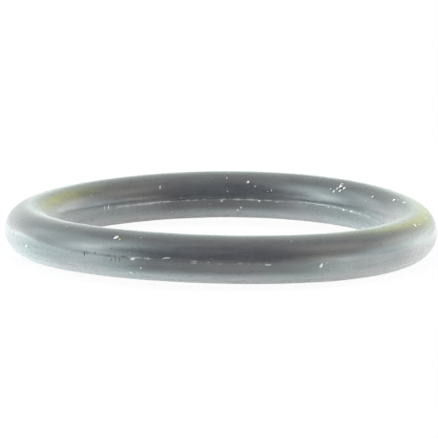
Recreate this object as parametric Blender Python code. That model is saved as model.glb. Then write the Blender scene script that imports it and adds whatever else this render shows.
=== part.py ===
# A moulded rubber O-ring of round section, lying on its side as it comes to rest.
# Its two mould halves met at mid-height, so a fine trimmed ridge runs round the outside and the inside.
# After use the ring no longer lies quite flat: two opposite sides stand higher than the two between them.

import math

import bmesh
import bpy

# Driving dimensions, in metres
INSIDE_DIAMETER = 0.02499
SECTION_DIAMETER = 0.00353
RIDGE_HEIGHT = 0.00006  # how far the trimmed ridge stands off the round section
RIDGE_FOOT = 0.00024  # width of the ridge where it leaves the section
RIDGE_CREST = 0.00008  # width of its cut crest
OUT_OF_FLAT = 0.00037  # height of the ring's high sides above its low sides

# Direction of one high side, in degrees from +X, the other being opposite
HIGH_SIDE = 70.4

# Facets along each half of the section: an odd number puts one level at the top and one underneath
ARC_STEPS = 17
# Facets around the ring: a multiple of four puts one at the middle of each high and low side
RING_STEPS = 128

RUBBER_COLOUR = (0.045, 0.046, 0.048, 1.0)
RUBBER_ROUGHNESS = 0.48
RIDGE_EDGE_ANGLE = 25.0  # degrees, above which an edge is kept crisp

# Sizes that follow from them
SECTION_RADIUS = SECTION_DIAMETER / 2
RING_RADIUS = INSIDE_DIAMETER / 2 + SECTION_RADIUS


def clear_scene():
    for scene_object in list(bpy.data.objects):
        bpy.data.objects.remove(scene_object, do_unlink=True)


def section_outline():
    """The section about its own centre, as (outward, upward), anticlockwise from the outer ridge."""
    foot_angle = math.asin(RIDGE_FOOT / 2 / SECTION_RADIUS)
    half_turn = math.pi - 2 * foot_angle
    outline = []
    for start in (0.0, math.pi):
        side = math.cos(start)
        crest = side * (SECTION_RADIUS + RIDGE_HEIGHT)
        outline.append((crest, -side * RIDGE_CREST / 2))
        outline.append((crest, side * RIDGE_CREST / 2))
        for step in range(ARC_STEPS + 1):
            angle = start + foot_angle + half_turn * step / ARC_STEPS
            outline.append((SECTION_RADIUS * math.cos(angle), SECTION_RADIUS * math.sin(angle)))
    return outline


def revolve_section(bm, outline):
    """Carries the section once round the ring's axis, with a facet's middle on the high side."""
    start = math.radians(HIGH_SIDE) + math.pi / RING_STEPS
    corners = []
    for outward, upward in outline:
        reach = RING_RADIUS + outward
        corners.append(bm.verts.new((reach * math.cos(start), reach * math.sin(start), upward)))
    edges = [bm.edges.new((corners[i - 1], corners[i])) for i in range(len(corners))]
    bmesh.ops.spin(
        bm,
        geom=corners + edges,
        cent=(0, 0, 0),
        axis=(0, 0, 1),
        angle=2 * math.pi,
        steps=RING_STEPS,
        use_merge=True,
    )
    bmesh.ops.recalc_face_normals(bm, faces=bm.faces)


def warp(bm):
    """Lifts two opposite sides and lowers the two between them, in one smooth double wave."""
    for vert in bm.verts:
        turn = math.atan2(vert.co.y, vert.co.x) - math.radians(HIGH_SIDE)
        vert.co.z += OUT_OF_FLAT / 2 * math.cos(2 * turn)


def rubber_material():
    material = bpy.data.materials.new("black_rubber")
    material.use_nodes = True
    shader = material.node_tree.nodes["Principled BSDF"]
    shader.inputs["Base Color"].default_value = RUBBER_COLOUR
    shader.inputs["Roughness"].default_value = RUBBER_ROUGHNESS
    shader.inputs["Metallic"].default_value = 0.0
    return material


def make_ring():
    bm = bmesh.new()
    revolve_section(bm, section_outline())
    warp(bm)
    lowest = min(vert.co.z for vert in bm.verts)
    mesh = bpy.data.meshes.new("o_ring")
    bm.to_mesh(mesh)
    bm.free()
    mesh.shade_smooth()
    mesh.set_sharp_from_angle(angle=math.radians(RIDGE_EDGE_ANGLE))
    mesh.materials.append(rubber_material())
    ring = bpy.data.objects.new("o_ring", mesh)
    ring.location = (0, 0, -lowest)  # the low sides touch height zero
    bpy.context.scene.collection.objects.link(ring)
    return ring


clear_scene()
make_ring()
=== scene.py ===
import math

import bpy
import numpy as np
from mathutils import Matrix, Vector


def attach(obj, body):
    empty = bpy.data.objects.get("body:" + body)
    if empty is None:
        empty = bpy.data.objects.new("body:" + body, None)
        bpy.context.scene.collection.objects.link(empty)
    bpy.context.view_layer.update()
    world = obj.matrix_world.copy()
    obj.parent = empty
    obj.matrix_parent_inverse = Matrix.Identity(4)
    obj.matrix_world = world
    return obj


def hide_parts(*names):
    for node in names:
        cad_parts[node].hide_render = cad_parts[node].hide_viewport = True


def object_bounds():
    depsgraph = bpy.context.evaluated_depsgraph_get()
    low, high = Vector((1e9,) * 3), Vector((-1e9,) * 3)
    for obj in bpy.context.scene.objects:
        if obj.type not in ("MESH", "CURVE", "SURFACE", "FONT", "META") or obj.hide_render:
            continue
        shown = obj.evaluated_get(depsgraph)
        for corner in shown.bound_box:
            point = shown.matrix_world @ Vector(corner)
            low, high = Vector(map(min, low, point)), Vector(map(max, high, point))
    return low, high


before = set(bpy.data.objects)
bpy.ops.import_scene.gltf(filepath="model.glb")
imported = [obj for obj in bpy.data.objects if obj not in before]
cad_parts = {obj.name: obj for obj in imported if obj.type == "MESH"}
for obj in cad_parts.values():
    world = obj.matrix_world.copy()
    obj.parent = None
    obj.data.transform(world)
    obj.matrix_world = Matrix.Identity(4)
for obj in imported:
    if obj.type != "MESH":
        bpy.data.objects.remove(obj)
cadLow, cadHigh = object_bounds()
print("frame loaded")

# The picture, and where the ring stands in it
picture = {
    "pixels": 438,
    "sensor": 36.0,  # mm across the frame
    "lens": 615.8,  # mm
    "distance": 0.556,  # metres from the camera to the ring's centre
    "clip": (0.01, 50),  # metres, the nearest and the farthest that the camera sees
    "elevation": 9.7,  # degrees above the floor
    "roll": -0.48,  # degrees, the right side lower
    "ringAt": (220.95, 227.75),  # pixels, where the ring's centre falls
}

ring = {
    "section": 0.00353,  # metres, diameter of the round section
    "highSide": 70.4,  # degrees from +X to one of the two high sides
    "ridgeHeight": 0.00006,  # metres, before the trimming
    "ridgeFoot": 0.00024,  # width at its foot and at its crest
    "ridgeCrest": 0.00008,
    "outerTrim": 0.05,  # share of its height that the trimming left of the outer ridge
    "innerTrim": 0.6,
    "closeTrim": (148, 24, 0.85),  # cut closer inside: degrees of turn, width, share taken off
    "partingDrop": 0.0001,  # metres, how far both ridges lie below the section's middle
    "ridgeRagged": 0.55,  # share of its height that the trimming left uneven
    "raggedMost": 1.6,  # the deepest that a ragged low goes, times that share
    "outerRagged": (9, 150, 40),  # fewest and most waves round the ring, and how many are added up
    "innerRagged": (9, 110, 40),
    "lumps": 0.0000035,  # metres, how far the moulded skin wanders
    "lumpWaves": (26, 5, 40),  # most waves round the ring and round the section, and how many
    "turnSteps": 704,  # steps of the grid round the ring and round the section
    "sectionSteps": 116,
    "crowding": 0.78,  # how closely the section's steps crowd at the ridges, below 1
    "drawnOut": 8,  # how many times longer than wide a drawn-out mark is
    "seed": 11,
}

sectionRadius = ring["section"] / 2
ringRadius = (cadHigh.x - cadLow.x) / 2 - ring["ridgeHeight"] - sectionRadius
outOfFlat = cadHigh.z - cadLow.z - ring["section"]
ringCentre = (cadLow + cadHigh) / 2


# Camera: axes from elevation and roll, moved sideways until the ring's centre falls on its pixel
def addCamera():
    elevation, roll = math.radians(picture["elevation"]), math.radians(picture["roll"])
    back = Vector((0, -math.cos(elevation), math.sin(elevation)))
    level, steep = Vector((1, 0, 0)), Vector((0, math.sin(elevation), math.cos(elevation)))
    right = level * math.cos(roll) - steep * math.sin(roll)
    up = level * math.sin(roll) + steep * math.cos(roll)
    focal = picture["lens"] / picture["sensor"] * picture["pixels"]
    perPixel = picture["distance"] / focal
    across = picture["ringAt"][0] - picture["pixels"] / 2
    down = picture["ringAt"][1] - picture["pixels"] / 2
    aim = ringCentre - right * across * perPixel + up * down * perPixel
    lens = bpy.data.cameras.new("camera")
    lens.sensor_width = picture["sensor"]
    lens.lens = picture["lens"]
    lens.clip_start, lens.clip_end = picture["clip"]
    camera = bpy.data.objects.new("camera", lens)
    bpy.context.scene.collection.objects.link(camera)
    turned = Matrix((right, up, back)).transposed().to_4x4()
    camera.matrix_world = Matrix.Translation(aim + back * picture["distance"]) @ turned
    bpy.context.scene.camera = camera
    bpy.context.view_layer.update()
    return camera, focal


camera, focalPixels = addCamera()
print("camera set")


# Pixels across and down where points fall in the picture, and their depth: camera axes first, then
# focal length over depth
def pixelsOf(points):
    toCamera = np.array(camera.matrix_world.inverted())
    seen = points @ toCamera[:3, :3].T + toCamera[:3, 3]
    depth = -seen[..., 2]
    half = picture["pixels"] / 2
    across = half + focalPixels * seen[..., 0] / depth
    down = half - focalPixels * seen[..., 1] / depth
    return across, down, depth


# Sum of cosines round a circle, each a whole number of waves, with a height of about one
def waves(angle, lowest, highest, count, random):
    numbers = random.integers(lowest, highest + 1, count)
    phases = random.uniform(0, 2 * math.pi, count)
    return np.cos(angle[..., None] * numbers + phases).sum(-1) / math.sqrt(count)


# The same over the whole skin: waves that run round the ring and round the section at once
def skinWaves(turn, around, turnMost, aroundMost, count, random):
    total = np.zeros(np.broadcast(turn, around).shape)
    for _ in range(count):
        m, n = random.integers(1, turnMost + 1), random.integers(-aroundMost, aroundMost + 1)
        total = total + np.cos(m * turn + n * around + random.uniform(0, 2 * math.pi))
    return total / math.sqrt(count)


# One in the middle of a stretch of degrees and falling away to both sides as a bell
def stretchOf(angle, middle, width):
    apart = (np.degrees(angle) - middle + 180) % 360 - 180
    return np.exp(-(apart / width) ** 2)


# Angle round the section: even steps less a share of half the sine of twice the angle, which crowds
# the steps at both ridges
def sectionAngles():
    even = np.arange(ring["sectionSteps"]) / ring["sectionSteps"] * 2 * math.pi
    return even - ring["crowding"] * np.sin(2 * even) / 2


# From none at the low value to one at the high one, with a soft start and end
def eased(value, low, high):
    ramp = np.clip((value - low) / (high - low), 0, 1)
    return ramp * ramp * (3 - 2 * ramp)


# Height of the ridge above the round section: an eased ramp from foot to crest, times a ragged
# height, times the share that the trimming left
def ridgeAt(turn, around, random):
    offPlane = np.abs(sectionRadius * np.sin(around) + ring["partingDrop"])
    foot, crest = ring["ridgeFoot"] / 2, ring["ridgeCrest"] / 2
    ramp = eased(foot - offPlane, 0, foot - crest)
    outer = waves(turn, *ring["outerRagged"], random)
    inner = waves(turn, *ring["innerRagged"], random)
    ragged = np.where(np.cos(around) > 0, outer, inner)
    height = 1 - ring["ridgeRagged"] * np.clip((1 + ragged) / 2, 0, ring["raggedMost"])
    middle, width, taken = ring["closeTrim"]
    inside = ring["innerTrim"] * (1 - taken * stretchOf(turn, middle, width))
    trim = np.where(np.cos(around) > 0, ring["outerTrim"], inside)
    return ring["ridgeHeight"] * ramp * height * trim


# A circle carried round a circle. The reach from the axis is the ring's radius plus the section's
# radius times the cosine of the angle round the section, the height is that radius times its sine,
# and a double wave of the turn lifts two opposite sides.
def skinAt(turn, around, radius):
    reach = ringRadius + radius * np.cos(around)
    lift = outOfFlat / 2 * np.cos(2 * (turn - math.radians(ring["highSide"])))
    height = ringCentre.z + radius * np.sin(around) + lift
    return np.stack([reach * np.cos(turn), reach * np.sin(turn), height], -1)


# How the skin under a pixel is searched for
search = {
    "spreads": (0.02, 0.005, 0.00125, 0.0003),  # radians round the section, ever closer
    "reach": 4,  # spreads to each side
    "tries": 17,  # points from side to side
    "turnShare": 0.15,  # steps of turn, as a share of those round the section
    "within": 1.5,  # pixels, how much farther off than the nearest point others still count
    "never": 1e6,  # a distance that rules a point out
}


# Turn and angle round the section of the skin point that a pixel shows: the nearest of the grid's
# points that face the camera and aren't hidden behind the front, then the nearest of ever closer
# points round it
def skinUnder(pixel, turnGrid, aroundGrid):
    eye = np.array(camera.location)
    for spread in search["spreads"]:
        points = skinAt(turnGrid, aroundGrid, sectionRadius)
        outward = points - skinAt(turnGrid, aroundGrid, 0.0)
        across, down, depth = pixelsOf(points)
        faces = ((eye - points) * outward).sum(-1) > 0
        miss = np.hypot(across - pixel[0], down - pixel[1]) + np.where(faces, 0, search["never"])
        close = miss < miss.min() + search["within"]
        nearest = np.where(close, depth, search["never"]).min()
        inFront = close & (depth < nearest + sectionRadius)
        best = np.argmin(np.where(inFront, miss, search["never"]))
        turn, around = turnGrid.flat[best], aroundGrid.flat[best]
        steps = np.linspace(-search["reach"], search["reach"], search["tries"]) * spread
        turnGrid, aroundGrid = np.broadcast_arrays(turn + steps[:, None] * search["turnShare"],
                                                   around + steps[None, :])
    return turn, around


# The skin with its moulded unevenness and its trimmed ridge
def ringSkin():
    random = np.random.default_rng(ring["seed"])
    turn = (np.arange(ring["turnSteps"]) / ring["turnSteps"] * 2 * math.pi)[:, None]
    around = sectionAngles()[None, :]
    radius = sectionRadius + ring["lumps"] * skinWaves(turn, around, *ring["lumpWaves"], random)
    radius = radius + ridgeAt(turn, around, random)
    return turn + 0 * around, around + 0 * turn, skinAt(turn, around, radius)


# A grid that closes on itself both ways, as quads that face outward
def closedGrid(rows, columns):
    first = np.arange(rows)[:, None]
    second = np.arange(columns)[None, :]
    nextRow, nextColumn = (first + 1) % rows, (second + 1) % columns
    corners = [first * columns + second, nextRow * columns + second,
               nextRow * columns + nextColumn, first * columns + nextColumn]
    return np.stack(corners, -1).reshape(-1, 4)


# A piece from points and quads, with one attribute for each field of numbers or vectors
def newPiece(name, points, quads, attributes):
    mesh = bpy.data.meshes.new(name)
    flat = points.reshape(-1, 3)
    mesh.vertices.add(len(flat))
    mesh.vertices.foreach_set("co", flat.astype(np.float32).ravel())
    mesh.loops.add(quads.size)
    mesh.loops.foreach_set("vertex_index", quads.astype(np.int32).ravel())
    mesh.polygons.add(len(quads))
    mesh.polygons.foreach_set("loop_start", np.arange(len(quads), dtype=np.int32) * 4)
    mesh.update(calc_edges=True)
    mesh.validate()
    mesh.shade_smooth()
    for key, values in attributes.items():
        isVector = values.ndim > 1 and values.shape[-1] == 3
        field = mesh.attributes.new(key, "FLOAT_VECTOR" if isVector else "FLOAT", "POINT")
        field.data.foreach_set("vector" if isVector else "value", values.astype(np.float32).ravel())
    piece = bpy.data.objects.new(name, mesh)
    bpy.context.scene.collection.objects.link(piece)
    return piece


# Shader maths: a socket that adds its own Math nodes when it meets +, -, *, / or **
class Wire:
    def __init__(self, graph, socket):
        self.graph = graph
        self.socket = socket

    def __add__(self, other):
        return self.graph.maths("ADD", self, other)

    def __radd__(self, other):
        return self.graph.maths("ADD", other, self)

    def __sub__(self, other):
        return self.graph.maths("SUBTRACT", self, other)

    def __rsub__(self, other):
        return self.graph.maths("SUBTRACT", other, self)

    def __mul__(self, other):
        return self.graph.maths("MULTIPLY", self, other)

    def __rmul__(self, other):
        return self.graph.maths("MULTIPLY", other, self)

    def __truediv__(self, other):
        return self.graph.maths("DIVIDE", self, other)

    def __rtruediv__(self, other):
        return self.graph.maths("DIVIDE", other, self)

    def __pow__(self, other):
        return self.graph.maths("POWER", self, other)

    def __rpow__(self, other):
        return self.graph.maths("POWER", other, self)


# A node tree that takes a node's type, its settings first, and then the values or wires of its
# sockets
class Graph:
    def __init__(self, owner):
        owner.use_nodes = True
        self.tree = owner.node_tree
        self.tree.nodes.clear()

    def add(self, kind, settings=None, sockets=None, output=0):
        node = self.tree.nodes.new(kind)
        for key, value in (settings or {}).items():
            setattr(node, key, value)
        for key, value in (sockets or {}).items():
            if isinstance(value, Wire):
                self.tree.links.new(value.socket, node.inputs[key])
            else:
                node.inputs[key].default_value = value
        return Wire(self, node.outputs[output]) if len(node.outputs) else node

    def maths(self, operation, *values):
        return self.add("ShaderNodeMath", {"operation": operation}, dict(enumerate(values)))

    def between(self, value, low, high):
        return self.add("ShaderNodeMapRange", {"interpolation_type": "SMOOTHSTEP"},
                        {"Value": value, "From Min": low, "From Max": high})

    def mixColour(self, factor, first, second, way="MIX"):
        return self.add("ShaderNodeMix", {"data_type": "RGBA", "blend_type": way},
                        {0: factor, 6: first, 7: second}, 2)

    def scaled(self, colour, amount):
        return self.add("ShaderNodeVectorMath", {"operation": "SCALE"},
                        {0: colour, "Scale": amount})

    def added(self, first, second):
        return self.add("ShaderNodeVectorMath", {"operation": "ADD"}, {0: first, 1: second})

    def axis(self, vector, name):
        return self.add("ShaderNodeSeparateXYZ", {}, {0: vector}, name)

    def coordinates(self, name):
        return self.add("ShaderNodeTexCoord", {}, {}, name)

    def ray(self, name):
        return self.add("ShaderNodeLightPath", {}, {}, name)

    def attribute(self, name, output="Fac"):
        return self.add("ShaderNodeAttribute", {"attribute_name": name}, {}, output)

    # A pattern is the noise's scale, detail and roughness, and a rise is its place in a fourth
    # direction
    def noise(self, place, pattern, rise=None):
        scale, detail, rough = pattern
        sockets = {"Vector": place, "Scale": scale, "Detail": detail, "Roughness": rough}
        if rise:
            sockets["W"] = rise
        return self.add("ShaderNodeTexNoise", {"noise_dimensions": "4D" if rise else "3D"}, sockets)

    def bump(self, height, distance, strength, below=None):
        sockets = {"Height": height, "Distance": distance, "Strength": strength}
        if below:
            sockets["Normal"] = below
        return self.add("ShaderNodeBump", {}, sockets)


# Wires added up, each times its share
def sumOf(shares, *wires):
    total = wires[0] * shares[0]
    for share, wire in zip(shares[1:], wires[1:]):
        total = total + wire * share
    return total


rubber = {
    "black": (0.037, 0.040, 0.045, 1),  # linear colours
    "worn": (0.074, 0.076, 0.077, 1),
    "dust": (0.52, 0.52, 0.49, 1),
    # olive: a painted reflection of the yellow-lit wall
    "olive": (0.25, 0.25, 0.025, 1),
    "paintedReflectionLeft": (0.42, 0.49, 0.48, 1),  # colours of the painted reflection of the bright floor on the lower half: to the left, to the right and lowest down
    "paintedReflectionRight": (0.432, 0.484, 0.474, 1),
    "paintedReflectionLow": (0.462, 0.474, 0.462, 1),
    "teal": (0.94, 1.01, 1.02, 1),  # the two tints that the skin wanders between
    "mauve": (1.03, 0.98, 1.02, 1),
    "clouds": (320.0, 4.0, 0.6),  # patterns: scale per metre, detail and roughness of the noise
    "streaks": (3200.0, 3.0, 0.55),
    "bands": (1100.0, 2.0, 0.5),
    "fineDots": (5600.0, 3.0, 0.6),
    "wideDots": (1300.0, 2.0, 0.5),
    "tints": (240.0, 2.0, 0.5),
    "grain": (2600.0, 4.0, 0.6),
    "wornMix": (0.4, 0.3, 0.3),  # shares of clouds, streaks and bands
    "wornFrom": (0.42, 0.62),  # each From: the two values between which that goes from none to one
    "wornMost": 0.7,
    "thickMix": (0.4, 0.3, 0.3),  # shares of streaks, bands and clouds
    "thickFrom": (0.25, 0.62),
    "paintedReflectionThin": 0.62,  # how much the painted reflection covers where it is thin
    "paintedReflectionThick": 0.38,  # and how much more where it is thick
    "paintedReflectionSides": 0.6,  # of the ring's radius, where the left and the right colour are reached
    "paintedReflectionLowFrom": (0.55, 0.9),
    "oliveFrom": (0.2, 0.6),
    "dotsMix": (0.4, 0.4, 0.2),  # shares of fine dots, wide dots and streaks
    "dotsFrom": (0.68, 0.79),
    "dotsFilled": 0.35,  # how far thick dust fills the gaps between dots
    "dustFrom": (0.02, 0.25),
    "dustThin": 0.2,  # how much the ridge's dust covers where it is thin
    "dustThick": 0.6,  # and how much more where it is thick
    "tintsFrom": (0.38, 0.62),
    "roughness": 0.26,
    "grainRough": 0.10,  # what the grain, the wear and the dust add to the roughness
    "wornRough": 0.06,
    "dustRough": 0.35,
    "ior": 1.9,
    "sheen": 1.0,
    "sheenRoughness": 0.45,
    "bumpStrength": 0.6,
    "bandHeight": 0.00006,  # metres, the relief of each pattern
    "streakHeight": 0.000009,
    "grainHeight": 0.000004,
    "dustHeight": 1.5,  # times the grain's
}


# Black rubber with a worn skin, a pale painted reflection of the bright floor on its lower half,
# olive painted where the yellow-lit wall is mirrored, dust along the ridge and faint tints
def rubberMaterial():
    material = bpy.data.materials.new("agedBlackRubber")
    graph = Graph(material)
    place = graph.coordinates("Object")
    drawn = graph.attribute("drawnPlace", "Vector")
    rise = graph.attribute("drawnRise")
    ridgeDust = graph.attribute("ridgeDust")
    paintedReflectionShare = graph.attribute("paintedReflectionShare")
    oliveReflectionHere = graph.attribute("oliveReflectionHere")

    clouds = graph.noise(place, rubber["clouds"])
    streaks = graph.noise(drawn, rubber["streaks"], rise)
    bands = graph.noise(drawn, rubber["bands"], rise)
    worn = graph.between(sumOf(rubber["wornMix"], clouds, streaks, bands), *rubber["wornFrom"])
    skin = graph.mixColour(worn * rubber["wornMost"], rubber["black"], rubber["worn"])

    thickness = sumOf(rubber["thickMix"], streaks, bands, clouds)
    thickness = graph.between(thickness, *rubber["thickFrom"])
    # Painted reflection of the bright floor: a pale colour over the lower half, between a colour to
    # the left and one to the right, and another lowest down
    side = ringRadius * rubber["paintedReflectionSides"]
    rightness = graph.between(graph.axis(place, "X"), -side, side)
    paintedReflection = graph.mixColour(rightness, rubber["paintedReflectionLeft"], rubber["paintedReflectionRight"])
    lowness = graph.between(paintedReflectionShare, *rubber["paintedReflectionLowFrom"])
    paintedReflection = graph.mixColour(lowness, paintedReflection, rubber["paintedReflectionLow"])
    paintedReflectionCover = paintedReflectionShare * (rubber["paintedReflectionThin"] + thickness * rubber["paintedReflectionThick"])
    skin = graph.mixColour(paintedReflectionCover, skin, paintedReflection)
    # Olive painted where the yellow-lit wall is mirrored: a painted reflection
    paintedOliveReflection = oliveReflectionHere * graph.between(clouds, *rubber["oliveFrom"])
    skin = graph.mixColour(paintedOliveReflection, skin, rubber["olive"])

    # Dust held by the ridge: a line, dotted where it is thin
    fineDots = graph.noise(place, rubber["fineDots"])
    wideDots = graph.noise(place, rubber["wideDots"])
    dots = sumOf(rubber["dotsMix"], fineDots, wideDots, streaks) + ridgeDust * rubber["dotsFilled"]
    line = graph.between(dots, *rubber["dotsFrom"]) * graph.between(ridgeDust, *rubber["dustFrom"])
    dusty = line * (rubber["dustThin"] + ridgeDust * rubber["dustThick"])
    colour = graph.mixColour(dusty, skin, rubber["dust"])

    tintHere = graph.between(graph.noise(place, rubber["tints"]), *rubber["tintsFrom"])
    tint = graph.mixColour(tintHere, rubber["teal"], rubber["mauve"])
    colour = graph.mixColour(1.0, colour, tint, "MULTIPLY")

    grain = graph.noise(place, rubber["grain"])
    roughness = rubber["roughness"] + (grain - 0.5) * rubber["grainRough"]
    roughness = roughness + worn * rubber["wornRough"] + dusty * rubber["dustRough"]
    strength = rubber["bumpStrength"]
    bump = graph.bump(bands, rubber["bandHeight"], strength)
    bump = graph.bump(streaks, rubber["streakHeight"], strength, bump)
    bump = graph.bump(grain + dusty * rubber["dustHeight"], rubber["grainHeight"], strength, bump)
    shader = graph.add("ShaderNodeBsdfPrincipled", {}, {
        "Base Color": colour,
        "Roughness": roughness,
        "IOR": rubber["ior"],
        "Sheen Weight": rubber["sheen"],
        "Sheen Roughness": rubber["sheenRoughness"],
        "Normal": bump,
    })
    graph.add("ShaderNodeOutputMaterial", {}, {"Surface": shader})
    return material


turns, arounds, skinPoints = ringSkin()


# A place for patterns drawn out along the turn: a small circle of the turn in the first two
# numbers, and the section's own circle in the third and in a fourth that is kept apart, so that
# nothing shows a seam
def drawnPlaces():
    small = ringRadius / ring["drawnOut"]
    return np.stack([small * np.cos(turns), small * np.sin(turns),
                     sectionRadius * np.cos(arounds)], -1)


# Where dust lies along the ridge: middle and width in degrees of turn, how much of it, and how far
# above the ridge in metres
ridgeDust = {
    "halfWidth": 0.00010,  # metres up and down
    "inner": {
        "leftBack": (117, 19, 1.0, 0),
        "back": (86, 40, 0.72, 0),
        "rightBack": (36, 14, 0.80, 0),
        "front": (250, 50, 0.4, 0),
    },
    "outer": {
        "frontLeft": (249, 9, 0.60, 0.00022),
        "frontUpper": (262, 7, 0.62, 0.00020),
        "frontLower": (265, 7, 0.68, 0.00006),
        "frontRight": (279, 12, 0.60, 0.00008),
        "back": (95, 60, 0.4, 0),
    },
}


# One side's dust: bells of the turn and of the height above the ridge, and the thickest counts
def dustLine(stretches):
    height = sectionRadius * np.sin(arounds) + ring["partingDrop"]
    layers = [stretchOf(turns, middle, width) * amount
              * np.exp(-((height - above) / ridgeDust["halfWidth"]) ** 2)
              for middle, width, amount, above in stretches.values()]
    return np.max(layers, 0)


def ridgeDustField():
    return np.where(np.cos(arounds) > 0, dustLine(ridgeDust["outer"]), dustLine(ridgeDust["inner"]))


# Painted reflection of the bright floor: pale colour on the lower half, as two ramps of the sine of
# the angle
# below the middle: a thin veil that starts at mid-height or above and grows towards the ring's two
# ends, and a thicker layer underneath
paintedReflectionSpread = {
    "veilStart": -0.08,  # at the front and back, and at the two ends
    "veilStartEnds": -0.38,
    "endSharpness": 4.0,  # power of the cosine of the turn: how close to the ends the start rises
    "veilHigher": {  # where it starts higher: degrees of turn, width, how much
        "leftEnd": (204, 12, 0.12),
        "frontRight": (304, 11, 0.08),
    },
    "veilReach": 0.16,
    "veilMiddle": (0.28, 0.62, 0.56),  # cosines of the turn between which it grows, and its share
    "veilEnds": (0.78, 0.97, 0.26),  # more of it, outside only
    "veilInner": (0.26, 0.56, 0.39),
    "veilMore": {  # outside only: degrees of turn, width, how much more
        "leftEnd": (209, 10, -0.08),
        "frontLeft": (239, 12, 0.03),
        "frontRight": (283, 13, 0.09),
        "lowRight": (308, 12, 0.09),
        "rightEnd": (345, 16, 0.17),
    },
    "lowStart": 0.33,
    "lowReach": 0.43,
    "lowShare": 0.92,
}


def paintedReflectionShareField():
    below, endwards = -np.sin(arounds), np.abs(np.cos(turns))
    toEnds = paintedReflectionSpread["veilStartEnds"] - paintedReflectionSpread["veilStart"]
    start = paintedReflectionSpread["veilStart"] + toEnds * endwards ** paintedReflectionSpread["endSharpness"]
    for place, width, higher in paintedReflectionSpread["veilHigher"].values():
        start = start - higher * stretchOf(turns, place, width)
    middle, ends, inner = [eased(endwards, low, high) * amount for low, high, amount
                           in (paintedReflectionSpread["veilMiddle"], paintedReflectionSpread["veilEnds"], paintedReflectionSpread["veilInner"])]
    more = sum(stretchOf(turns, place, width) * amount
               for place, width, amount in paintedReflectionSpread["veilMore"].values())
    share = np.where(np.cos(arounds) > 0, middle + ends + more, inner)
    veil = eased(below, start, start + paintedReflectionSpread["veilReach"]) * share
    low = eased(below, paintedReflectionSpread["lowStart"], paintedReflectionSpread["lowStart"] + paintedReflectionSpread["lowReach"]) * paintedReflectionSpread["lowShare"]
    return veil + (1 - veil) * low


# Olive colour painted on three stretches where the yellow-lit wall is mirrored, a painted
# reflection: middle and width in degrees of turn, the same round the section, and how strong
olive = {
    "backLeft": (157, 19, 126, 16, 0.85),
    "frontRight": (330, 13, 70, 14, 0.62),
    "endRight": (355, 16, 62, 18, 1.1),
}


def oliveReflectionField():
    field = np.zeros(turns.shape)
    for middle, width, level, height, amount in olive.values():
        field = field + stretchOf(turns, middle, width) * stretchOf(arounds, level, height) * amount
    return field


ringPiece = newPiece("ringSkin", skinPoints, closedGrid(ring["turnSteps"], ring["sectionSteps"]), {
    "drawnPlace": drawnPlaces(),
    "drawnRise": sectionRadius * np.sin(arounds),
    "ridgeDust": ridgeDustField(),
    "paintedReflectionShare": paintedReflectionShareField(),
    "oliveReflectionHere": oliveReflectionField(),
})
ringPiece.data.materials.append(rubberMaterial())
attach(ringPiece, "root")
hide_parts("o_ring")
print("ring skin made")

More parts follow.
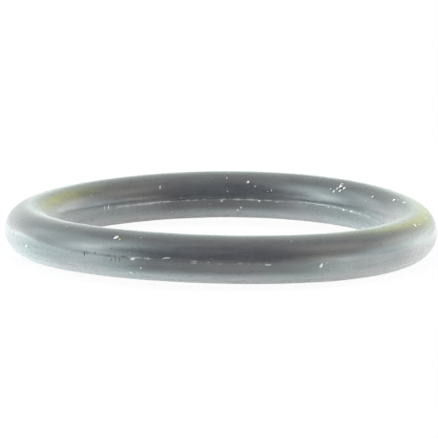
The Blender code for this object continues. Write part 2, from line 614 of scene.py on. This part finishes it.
# Loose dust. The larger grains lie where the picture shows them: across and down in pixels, half
# the length along the ring and half the width round the section in metres, the tilt between the two
# in degrees, then how pale and how warm the grain is, from none to one.
grains = {
    "creamChip": (116.8, 237.8, 0.00021, 0.00013, 35, 0.7, 0.5),
    "tanCrumb": (119.8, 239.6, 0.00009, 0.00009, 0, 0.25, 1.0),
    "frontOval": (133.0, 259.0, 0.00018, 0.00009, 0, 0.6, 0.1),
    "frontDash": (166.5, 258.2, 0.00026, 0.00007, 8, 0.2, 0.2),
    "lowSpeck": (141.0, 268.0, 0.00010, 0.00008, 0, 0.40, 0.0),
    "edgeDash": (132.0, 272.5, 0.00017, 0.00008, 0, 0.75, 0.1),
    "leftEndSpeck": (27.0, 246.0, 0.00017, 0.00011, 0, 1.0, 0.1),
    "leftSpeck": (67.0, 227.0, 0.00007, 0.00008, 0, 0.4, 0.0),
    "faintSpeck": (141.0, 238.0, 0.00006, 0.00006, 0, 0.35, 0.0),
    # The next two pale grains sit on a small glint of the inner rim: dust that also stands in as a
    # painted highlight of that glint
    "rimGlintSpeck": (70.5, 220.0, 0.00012, 0.00005, 40, 0.8, 0.0),
    "rimGlintSliver": (66.5, 219.0, 0.00005, 0.00010, 30, 0.9, 0.0),
    "backSliver": (160.0, 187.5, 0.00006, 0.00017, -20, 0.4, 0.3),
    "topSliver": (227.0, 178.0, 0.00005, 0.00015, 0, 0.3, 0.2),
    "backSpeck": (248.2, 182.3, 0.00013, 0.00013, 0, 0.6, 0.1),
    "backFaint": (255.5, 186.5, 0.00010, 0.00006, 0, 0.25, 0.0),
    "backRightSpeck": (271.5, 190.5, 0.00008, 0.00010, 0, 0.25, 0.0),
    "pairLower": (238.0, 209.7, 0.00011, 0.00009, 0, 0.75, 0.1),
    "pairUpper": (241.0, 207.4, 0.00008, 0.00008, 0, 0.75, 0.1),
    "innerLeftSpeck": (172.0, 211.8, 0.00007, 0.00009, 0, 0.6, 0.0),
    "strokeLeft": (104.2, 208.0, 0.00006, 0.00015, 0, 0.7, 0.0),
    "strokeRight": (108.3, 207.2, 0.00006, 0.00014, 0, 0.9, 0.0),
    "ridgeDotLeft": (150.0, 204.2, 0.00011, 0.00007, 0, 0.4, 0.2),
    "ridgeDotMiddle": (221.8, 200.8, 0.00013, 0.00008, 0, 0.45, 0.1),
    "ridgeDotRight": (259.6, 201.0, 0.00014, 0.00008, 0, 0.55, 0.1),
    "ridgeDash": (277.0, 202.0, 0.00018, 0.00006, 0, 0.25, 0.1),
    "ridgeDotEnd": (328.5, 207.3, 0.00009, 0.00007, 0, 0.95, 0.0),
    "ridgeDashEnd": (343.8, 210.0, 0.00015, 0.00008, 0, 1.0, 0.0),
    "ridgeDashLast": (351.5, 211.3, 0.00020, 0.00007, 0, 0.85, 0.0),
    "ridgeCrumb": (359.5, 213.6, 0.00012, 0.00007, 0, 0.6, 0.0),
    "frontRightDash": (268.0, 264.8, 0.00022, 0.00007, 0, 0.35, 0.2),
    "frontMiddleDash": (240.5, 263.2, 0.00020, 0.00005, 0, 0.05, 0.3),
    "frontRightChip": (321.0, 265.8, 0.00009, 0.00018, -25, 0.8, 0.4),
    "frontRightFaint": (326.2, 263.0, 0.00006, 0.00012, 0, 0.5, 0.5),
    "clusterTop": (342.0, 184.4, 0.00016, 0.00008, 40, 0.6, 0.2),
    "clusterMiddle": (341.0, 186.8, 0.00018, 0.00014, 0, 0.7, 0.1),
    "clusterRight": (344.6, 188.4, 0.00012, 0.00013, 0, 0.8, 0.1),
    "clusterLow": (340.4, 191.2, 0.00014, 0.00012, 0, 0.85, 0.0),
    "clusterLeft": (334.2, 191.6, 0.00013, 0.00012, 0, 0.7, 0.0),
    "clusterFar": (331.0, 189.4, 0.00010, 0.00010, 20, 0.45, 0.0),
    "clusterBetween": (337.6, 188.8, 0.00012, 0.00012, 0, 0.5, 0.0),
    "farSpeck": (373.0, 197.2, 0.00013, 0.00013, 0, 0.5, 0.2),
    "farFaint": (367.0, 200.8, 0.00008, 0.00008, 0, 0.6, 0.1),
    "endPairLeft": (394.3, 200.4, 0.00014, 0.00012, 0, 1.0, 0.1),
    "endPairMiddle": (398.6, 200.2, 0.00010, 0.00005, 0, 0.9, 0.4),
    "endPairRight": (404.2, 203.2, 0.00014, 0.00012, 0, 1.0, 0.2),
    "oliveChip": (414.6, 225.8, 0.00018, 0.00012, 25, 1.0, 0.6),
    "oliveCrumb": (418.8, 224.8, 0.00011, 0.00008, 0, 0.9, 0.7),
    "endFaint": (408.8, 239.0, 0.00008, 0.00006, 0, 0.9, 0.0),
}

# Dark crumbs where the outer ridge was trimmed: the grains' values up to the tilt, then how dark
crumbs = {
    "leftFirst": (84.4, 253.6, 0.00005, 0.00015, 4, 0.5),
    "leftSecond": (87.4, 252.4, 0.00005, 0.00009, 10, 0.1),
    "leftThird": (94.7, 252.9, 0.00008, 0.00005, 0, 0.2),
    "longSliver": (101.0, 255.0, 0.00022, 0.00002, 2, 0.0),
    "middleCrumb": (107.8, 255.6, 0.00012, 0.00005, 0, 0.4),
    "upperCrumb": (111.0, 248.4, 0.00008, 0.00004, 0, 0.1),
    "rightFirst": (111.4, 259.6, 0.00003, 0.00015, -8, 0.2),
    "rightSecond": (115.2, 259.0, 0.00003, 0.00017, 6, 0.3),
    "rightThird": (119.2, 259.8, 0.00003, 0.00016, -4, 0.3),
    "rightCrumb": (122.8, 256.2, 0.00012, 0.00005, 0, 0.4),
}

# The shape of every grain and crumb
grainShape = {
    "meridians": 8,  # points round it, and rings of them between its poles
    "levels": 3,
    "dents": 0.22,  # share of its size that a point is dented or raised
    "flatness": 0.5,  # height over width
    "sunk": 0.25,  # share of its height that a grain sits in the skin
}

# The finest dust, strewn over the whole ring
fineDust = {
    "count": 200,
    "smallest": 0.000012,  # metres, half width
    "largest": 0.000042,
    "mostlySmall": 2.5,  # power of the random share: the higher, the fewer large ones
    "longness": (1.0, 2.2),  # length over width
    "tilt": (-60, 60),  # degrees
    "paleness": (0.6, 1.0),
    "warmth": (0, 0.5),
    "seed": 5,
}


# A grain: a sphere's grid of meridians and levels with two poles, its points dented at random, then
# stretched along the turn, round the section and outward, and laid on the skin. Every grain is one
# row of whole arrays.
def grainPoints(turn, around, along, across, tilt, random):
    meridians, levels = grainShape["meridians"], grainShape["levels"]
    lon = np.arange(meridians) / meridians * 2 * math.pi
    lat = (np.arange(1, levels + 1) / (levels + 1) - 0.5) * math.pi
    side = np.stack([np.outer(np.cos(lat), np.cos(lon)), np.outer(np.cos(lat), np.sin(lon)),
                     np.outer(np.sin(lat), np.ones(meridians))], -1).reshape(-1, 3)
    ball = np.vstack([side, [[0, 0, -1], [0, 0, 1]]])
    dents = 1 + random.uniform(-grainShape["dents"], grainShape["dents"], (len(turn), len(ball), 1))
    shapes = ball[None] * dents
    height = np.minimum(along, across) * grainShape["flatness"]
    spin = np.radians(tilt)[:, None]
    first = shapes[..., 0] * along[:, None]
    second = shapes[..., 1] * across[:, None]
    alongTurn = first * np.cos(spin) - second * np.sin(spin)
    roundSection = first * np.sin(spin) + second * np.cos(spin)
    outward = (shapes[..., 2] + 1 - 2 * grainShape["sunk"]) * height[:, None]
    return skinAt(turn[:, None] + alongTurn / ringRadius,
                  around[:, None] + roundSection / sectionRadius, sectionRadius + outward)


# Quads of one grain: bands between levels, and each pole closed by quads over two steps of its fan
def grainQuads():
    meridians, levels = grainShape["meridians"], grainShape["levels"]
    step = np.arange(meridians)
    after = (step + 1) % meridians
    bands = [np.stack([k * meridians + step, k * meridians + after,
                       (k + 1) * meridians + after, (k + 1) * meridians + step], -1)
             for k in range(levels - 1)]
    even = step[::2]
    top, bottom, last = levels * meridians + 1, levels * meridians, (levels - 1) * meridians
    lower = np.stack([0 * even + bottom, (even + 2) % meridians, even + 1, even], -1)
    upper = np.stack([0 * even + top, last + even, last + even + 1,
                      last + (even + 2) % meridians], -1)
    return np.vstack(bands + [lower, upper])


speckFinish = {
    "grey": (0.19, 0.20, 0.20, 1),  # linear colours: the cool ones, from dull to pale
    "white": (0.95, 0.95, 0.94, 1),
    "tan": (0.30, 0.26, 0.14, 1),  # and the warm ones
    "cream": (0.95, 0.90, 0.78, 1),
    "crumb": (0.022, 0.024, 0.028, 1),
    "tones": (900.0, 2.0, 0.5),  # patterns: scale per metre, detail and roughness of the noise
    "tonesFrom": (0.35, 0.65),
    "tonesMost": 0.15,  # how much grey they mix in
    "fibres": (16000.0, 3.0, 0.6),
    "fibreHeight": 0.00001,  # metres
    "bumpStrength": 0.5,
    "roughness": 0.8,
    "fibreRough": 0.2,  # what the fibres add to it
}


# Chalky grains between four colours, with faint tones and fibres, and the crumbs' near-black
def dustMaterial():
    material = bpy.data.materials.new("paleDust")
    graph = Graph(material)
    place = graph.coordinates("Object")
    tone = graph.between(graph.noise(place, speckFinish["tones"]), *speckFinish["tonesFrom"])
    fibre = graph.noise(place, speckFinish["fibres"])
    paleness = graph.attribute("paleness")
    cool = graph.mixColour(paleness, speckFinish["grey"], speckFinish["white"])
    warm = graph.mixColour(paleness, speckFinish["tan"], speckFinish["cream"])
    colour = graph.mixColour(graph.attribute("warmth"), cool, warm)
    colour = graph.mixColour(tone * speckFinish["tonesMost"], colour, speckFinish["grey"])
    colour = graph.mixColour(graph.attribute("darkness"), colour, speckFinish["crumb"])
    shader = graph.add("ShaderNodeBsdfPrincipled", {}, {
        "Base Color": colour,
        "Roughness": speckFinish["roughness"] + (fibre - 0.5) * speckFinish["fibreRough"],
        "Normal": graph.bump(fibre, speckFinish["fibreHeight"], speckFinish["bumpStrength"]),
    })
    graph.add("ShaderNodeOutputMaterial", {}, {"Surface": shader})
    return material


# All grains and crumbs as one piece, with how pale, how warm and how dark each is
def layDust():
    random = np.random.default_rng(fineDust["seed"])
    named = [grain + (0.0,) for grain in grains.values()]
    named += [crumb[:5] + (0.0, 0.0, crumb[5]) for crumb in crumbs.values()]
    placed = np.array([skinUnder(grain[:2], turns, arounds) for grain in named])
    sizes = np.array([grain[2:5] for grain in named])
    looks = np.array([grain[5:] for grain in named])
    count = fineDust["count"]
    share = random.uniform(0, 1, count) ** fineDust["mostlySmall"]
    small = fineDust["smallest"] + (fineDust["largest"] - fineDust["smallest"]) * share
    turn = np.concatenate([placed[:, 0], random.uniform(0, 2 * math.pi, count)])
    around = np.concatenate([placed[:, 1], random.uniform(0, 2 * math.pi, count)])
    along = np.concatenate([sizes[:, 0], small * random.uniform(*fineDust["longness"], count)])
    across = np.concatenate([sizes[:, 1], small])
    tilt = np.concatenate([sizes[:, 2], random.uniform(*fineDust["tilt"], count)])
    points = grainPoints(turn, around, along, across, tilt, random)
    points[..., 2] = np.maximum(points[..., 2], cadLow.z)  # pressed flat where the ring rests
    paleness = np.concatenate([looks[:, 0], random.uniform(*fineDust["paleness"], count)])
    warmth = np.concatenate([looks[:, 1], random.uniform(*fineDust["warmth"], count)])
    darkness = np.concatenate([looks[:, 2], np.zeros(count)])
    quads = grainQuads()[None] + (np.arange(len(turn)) * points.shape[1])[:, None, None]
    piece = newPiece("looseDust", points, quads.reshape(-1, 4), {
        "paleness": np.repeat(paleness, points.shape[1]),
        "warmth": np.repeat(warmth, points.shape[1]),
        "darkness": np.repeat(darkness, points.shape[1]),
    })
    piece.data.materials.append(dustMaterial())
    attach(piece, "root")
    return piece


layDust()
print("dust laid")

studio = {
    "floorSize": 6.0,  # metres
    "floorColour": (0.90, 0.90, 0.90, 1),
    "plainWhite": (1, 1, 1, 1),
    "whiteShare": 0.94,  # how much of the floor is plain white in the picture
    "mirroredShare": 0.6,  # and how much of it is plain white in reflections
    "ceiling": (0.58, 0.545, 0.53),
    "ceilingFrom": 55.0,  # degrees above the floor
    "ceilingEdge": 20.0,  # degrees to each side of that, over which it fades in
    "openingHalfWidth": 44.0,  # degrees to each side of the front, where the tent is open
    "openingEdge": 14.0,  # degrees to each side of its edge, over which it closes
    "openingTop": 62.0,  # degrees above the floor
    "opening": (0.30, 0.29, 0.36),  # the dim room in front
    "softLampWatts": 1.05,
    "softLampSize": 0.30,  # metres
    "softLampHeight": 0.5,
}

# Lit stretches of the tent's walls: azimuth (0 towards the camera, 90 to the left), height, the
# half widths sideways and upwards, all in degrees, and the light in red, green and blue
walls = {
    "leftLow": (76, 4, 28, 9, (4.0, 5.0, 5.1)),
    "leftRear": (134, 4, 20, 9, (2.5, 2.4, 2.4)),
    "rear": (168, 6, 13, 8, (0.9, 1.05, 1.0)),
    "rearRight": (195, 8, 12, 9, (0.65, 0.78, 0.15)),
    "rearBeige": (157, 19, 14, 11, (0.55, 0.58, 0.55)),
    "rightRear": (230, 4, 20, 9, (3.8, 4.4, 4.2)),
    "leftRearMiddle": (125, 25, 15, 13, (1.85, 2.1, 2.1)),
    "rightLow": (268, 4, 24, 9, (2.35, 3.05, 3.2)),
    "rightFront": (302, 4, 16, 9, (3.7, 3.6, 3.2)),
    "leftMiddle": (88, 22, 24, 10, (1.5, 2.0, 2.05)),
    "rearYellow": (201, 24, 12, 10, (0.6, 0.6, 0.0)),
    "rightMiddle": (238, 22, 20, 10, (2.4, 2.45, 2.25)),
    "leftHigh": (76, 44, 36, 16, (2.15, 2.6, 2.6)),
    "rearHigh": (165, 44, 60, 16, (0.34, 0.40, 0.36)),
    "rightHigh": (286, 40, 32, 18, (1.55, 1.45, 1.3)),
    "leftPatch": (68, 38, 10, 7, (1.5, 1.8, 1.85)),
    "rightPatch": (268, 17, 14, 8, (1.2, 1.3, 1.4)),
    "leftFront": (48, 7, 12, 8, (1.4, 1.45, 1.5)),
    "leftLamp": (77, 22, 9, 9, (5.6, 5.7, 5.6)),
}


# A pale floor that is mostly plain white to the camera and in reflections, and still takes a shadow
def floorMaterial():
    material = bpy.data.materials.new("paleFloor")
    graph = Graph(material)
    lit = graph.add("ShaderNodeBsdfDiffuse", {}, {"Color": studio["floorColour"]})
    white = graph.add("ShaderNodeEmission", {}, {"Color": studio["plainWhite"], "Strength": 1.0})
    mirrored = graph.ray("Is Glossy Ray") + graph.ray("Is Transmission Ray")
    share = graph.ray("Is Camera Ray") * studio["whiteShare"] + mirrored * studio["mirroredShare"]
    surface = graph.add("ShaderNodeMixShader", {}, {0: share, 1: lit, 2: white})
    graph.add("ShaderNodeOutputMaterial", {}, {"Surface": surface})
    return material


def addFloor():
    half = studio["floorSize"] / 2
    low = cadLow.z
    corners = np.array([[-half, -half, low], [half, -half, low],
                        [half, half, low], [-half, half, low]], float)
    floor = newPiece("floor", corners, np.array([[0, 1, 2, 3]]), {})
    floor.data.materials.append(floorMaterial())


# The air round the table: a pale tent, open and dark at the front, whose walls are lit in soft
# bells
def addWorld():
    world = bpy.data.worlds.new("studioAir")
    bpy.context.scene.world = world
    graph = Graph(world)
    direction = graph.coordinates("Generated")
    leftward, frontward = graph.axis(direction, "X") * -1.0, graph.axis(direction, "Y") * -1.0
    azimuth = graph.maths("ARCTAN2", leftward, frontward)
    height = graph.maths("ARCSINE", graph.axis(direction, "Z"))

    # From none to one across an angle, over soft degrees to each side of it
    def past(angle, edge, soft):
        return graph.between(angle, math.radians(edge - soft), math.radians(edge + soft))

    above = past(height, studio["ceilingFrom"], studio["ceilingEdge"])
    light = graph.scaled(studio["ceiling"], above)
    for middle, level, halfWidth, halfHeight, colour in walls.values():
        turned = graph.maths("WRAP", azimuth - math.radians(middle), -math.pi, math.pi)
        sideways = turned / math.radians(halfWidth)
        upwards = (height - math.radians(level)) / math.radians(halfHeight)
        bell = math.e ** ((sideways * sideways + upwards * upwards) * -1.0)
        light = graph.added(light, graph.scaled(colour, bell))
    offFront = graph.maths("ABSOLUTE", azimuth)
    beside = past(offFront, studio["openingHalfWidth"], studio["openingEdge"])
    over = past(height, studio["openingTop"], studio["openingEdge"])
    closed = graph.maths("MAXIMUM", beside, over)
    light = graph.added(graph.scaled(light, closed), graph.scaled(studio["opening"], 1.0 - closed))

    # White to the camera and through glass, the lit tent to everything else
    air = graph.add("ShaderNodeBackground", {}, {"Color": light, "Strength": 1.0})
    white = graph.add("ShaderNodeBackground", {}, {"Color": studio["plainWhite"], "Strength": 1.0})
    seen = graph.ray("Is Camera Ray") + graph.ray("Is Transmission Ray")
    surface = graph.add("ShaderNodeMixShader", {}, {0: seen, 1: air, 2: white})
    graph.add("ShaderNodeOutputWorld", {}, {"Surface": surface})


# A wide soft lamp overhead that lights without being mirrored
def addSoftLamp():
    light = bpy.data.lights.new("softLamp", "AREA")
    light.size = studio["softLampSize"]
    light.energy = studio["softLampWatts"]
    lamp = bpy.data.objects.new("softLamp", light)
    lamp.visible_glossy = False
    bpy.context.scene.collection.objects.link(lamp)
    lamp.location = (0, 0, studio["softLampHeight"])


addFloor()
addWorld()
addSoftLamp()
bpy.context.scene.view_settings.view_transform = "Standard"
print("studio lit")
